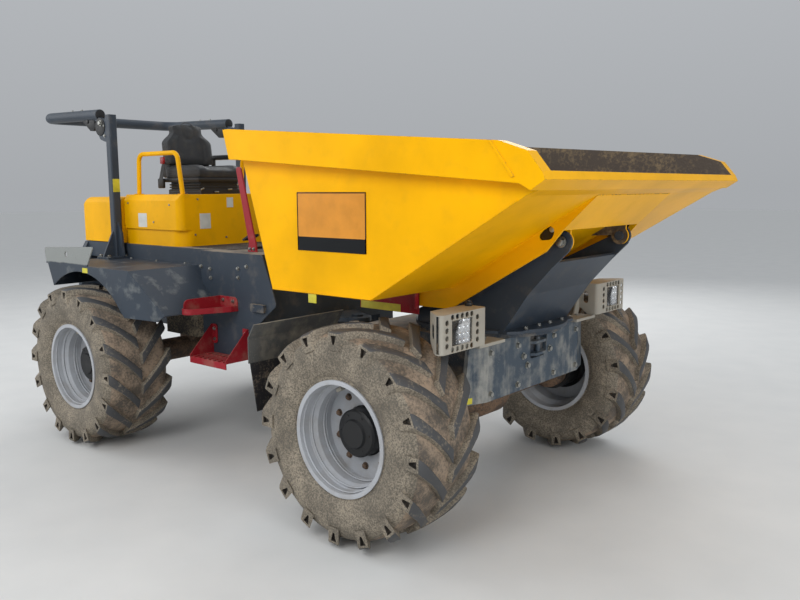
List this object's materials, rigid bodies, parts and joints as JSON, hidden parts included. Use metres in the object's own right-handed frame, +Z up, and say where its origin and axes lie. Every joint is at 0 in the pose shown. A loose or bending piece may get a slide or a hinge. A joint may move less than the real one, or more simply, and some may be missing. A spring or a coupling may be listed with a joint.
{
  "type": "articulated site dumper with swivel skip",
  "caption": "Articulated site dumper: a swivelling, forward-tipping skip ahead of an open driver's seat with a folding roll bar, on large lug tyres.",
  "frame": {"origin": "on the ground under the middle of the whole machine", "axes": "+X forwards, +Y to the machine's left, +Z up"},
  "size_m": [5.1909, 2.564, 2.4402],
  "materials": {
    "yellow_paint": "semi-gloss",
    "grey_paint": "semi-gloss",
    "red_paint": "semi-gloss",
    "rim_paint": "satin",
    "black_iron": "matt",
    "tyre_rubber": "matt",
    "black_plastic": "matt",
    "seat_vinyl": "satin",
    "chrome_rod": "polished",
    "guard_steel": "matt"
  },
  "bodies": {
    "rear_chassis": {"rear_frame": "grey_paint", "rear_axle": "black_iron", "tail_panel": "grey_paint", "engine_block": "black_iron", "deck": "grey_paint", "seat_box": "yellow_paint", "hoop_rails": "yellow_paint", "rops_posts": "grey_paint", "seat_base": "black_plastic", "seat_cushion": "seat_vinyl", "seat_backrest": "seat_vinyl", "console": "grey_paint", "steering_wheel": "black_plastic", "handrails": "red_paint", "fuel_tank": "black_plastic", "rear_fender_left": "grey_paint", "rear_fender_right": "grey_paint", "steps_left": "red_paint", "steps_right": "red_paint"},
    "front_chassis": {"front_frame": "grey_paint", "front_axle": "black_iron", "bumper": "grey_paint", "front_fender_left": "grey_paint", "front_fender_right": "grey_paint", "headlight_left": "guard_steel", "headlight_right": "guard_steel"},
    "swivel": {"swivel_frame": "grey_paint"},
    "skip_body": {"skip": "yellow_paint", "skip_keel": "yellow_paint"},
    "tip_barrel": {"tip_ram_barrel": "black_iron"},
    "tip_rod": {"tip_ram_rod": "chrome_rod"},
    "roll_bar": {"rops_top": "grey_paint"},
    "engine_cover": {"bonnet": "yellow_paint"},
    "steer_barrel_left": {"steering_barrel_left": "black_iron"},
    "steer_rod_left": {"steering_rod_left": "chrome_rod"},
    "steer_barrel_right": {"steering_barrel_right": "black_iron"},
    "steer_rod_right": {"steering_rod_right": "chrome_rod"},
    "wheel_front_right": {"tyre_front_right": "tyre_rubber", "rim_front_right": "rim_paint", "hub_front_right": "black_iron"},
    "wheel_front_left": {"tyre_front_left": "tyre_rubber", "rim_front_left": "rim_paint", "hub_front_left": "black_iron"},
    "wheel_rear_right": {"tyre_rear_right": "tyre_rubber", "rim_rear_right": "rim_paint", "hub_rear_right": "black_iron"},
    "wheel_rear_left": {"tyre_rear_left": "tyre_rubber", "rim_rear_left": "rim_paint", "hub_rear_left": "black_iron"}
  },
  "joints": [
    {"name": "articulation", "type": "hinge", "parent": "rear_chassis", "child": "front_chassis", "pos_m": [0.4675, 0, 0.785], "axis": [0, 0, 1], "range_deg": [-33, 33]},
    {"name": "skip_slew", "type": "hinge", "parent": "front_chassis", "child": "swivel", "pos_m": [1.5675, 0, 1.01], "axis": [0, 0, 1], "range_deg": [-90, 90]},
    {"name": "skip_tip", "type": "hinge", "parent": "swivel", "child": "skip_body", "pos_m": [2.2275, 0, 1.53], "axis": [0, 1, 0], "range_deg": [0, 70]},
    {"name": "tip_ram_pivot", "type": "hinge", "parent": "swivel", "child": "tip_barrel", "pos_m": [1.8325, 0, 1.095], "axis": [0, 1, 0], "range_deg": [0, 70.29]},
    {"name": "tip_ram_slide", "type": "slide", "parent": "tip_barrel", "child": "tip_rod", "axis": [-0.9935, 0, 0.114], "range_m": [0, 0.67402]},
    {"name": "roll_bar_fold", "type": "hinge", "parent": "rear_chassis", "child": "roll_bar", "pos_m": [-1.6005, 0, 2.31], "axis": [0, 1, 0], "range_deg": [0, 88]},
    {"name": "bonnet_lift", "type": "hinge", "parent": "rear_chassis", "child": "engine_cover", "pos_m": [-2.0945, 0, 1.4], "axis": [0, -1, 0], "range_deg": [0, 65]},
    {"name": "steer_ram_pivot_left", "type": "hinge", "parent": "rear_chassis", "child": "steer_barrel_left", "pos_m": [0.0675, 0.43, 0.8], "axis": [0, 0, 1], "range_deg": [-12.31, 12.31]},
    {"name": "steer_ram_slide_left", "type": "slide", "parent": "steer_barrel_left", "child": "steer_rod_left", "axis": [0.9853, -0.1708, 0], "range_m": [-0.20136, 0.20136]},
    {"name": "steer_ram_pivot_right", "type": "hinge", "parent": "rear_chassis", "child": "steer_barrel_right", "pos_m": [0.0675, -0.43, 0.8], "axis": [0, 0, 1], "range_deg": [-12.31, 12.31]},
    {"name": "steer_ram_slide_right", "type": "slide", "parent": "steer_barrel_right", "child": "steer_rod_right", "axis": [0.9853, 0.1708, 0], "range_m": [-0.20136, 0.20136]},
    {"name": "wheel_spin_front_right", "type": "hinge", "parent": "front_chassis", "child": "wheel_front_right", "pos_m": [1.5005, 0, 0.567], "axis": [0, 1, 0], "continuous": true},
    {"name": "wheel_spin_front_left", "type": "hinge", "parent": "front_chassis", "child": "wheel_front_left", "pos_m": [1.5005, 0, 0.567], "axis": [0, 1, 0], "continuous": true},
    {"name": "wheel_spin_rear_right", "type": "hinge", "parent": "rear_chassis", "child": "wheel_rear_right", "pos_m": [-1.1325, 0, 0.567], "axis": [0, 1, 0], "continuous": true},
    {"name": "wheel_spin_rear_left", "type": "hinge", "parent": "rear_chassis", "child": "wheel_rear_left", "pos_m": [-1.1325, 0, 0.567], "axis": [0, 1, 0], "continuous": true}
  ],
  "couplings": [
    {"joint": "tip_ram_pivot", "follows": "skip_tip", "ratio": 1.0042},
    {"joint": "tip_ram_slide", "follows": "skip_tip", "m_per_rad": 0.55169},
    {"joint": "steer_ram_pivot_left", "follows": "articulation", "ratio": 0.37302},
    {"joint": "steer_ram_slide_left", "follows": "articulation", "m_per_rad": -0.34961},
    {"joint": "steer_ram_pivot_right", "follows": "articulation", "ratio": 0.37302},
    {"joint": "steer_ram_slide_right", "follows": "articulation", "m_per_rad": 0.34961}
  ]
}
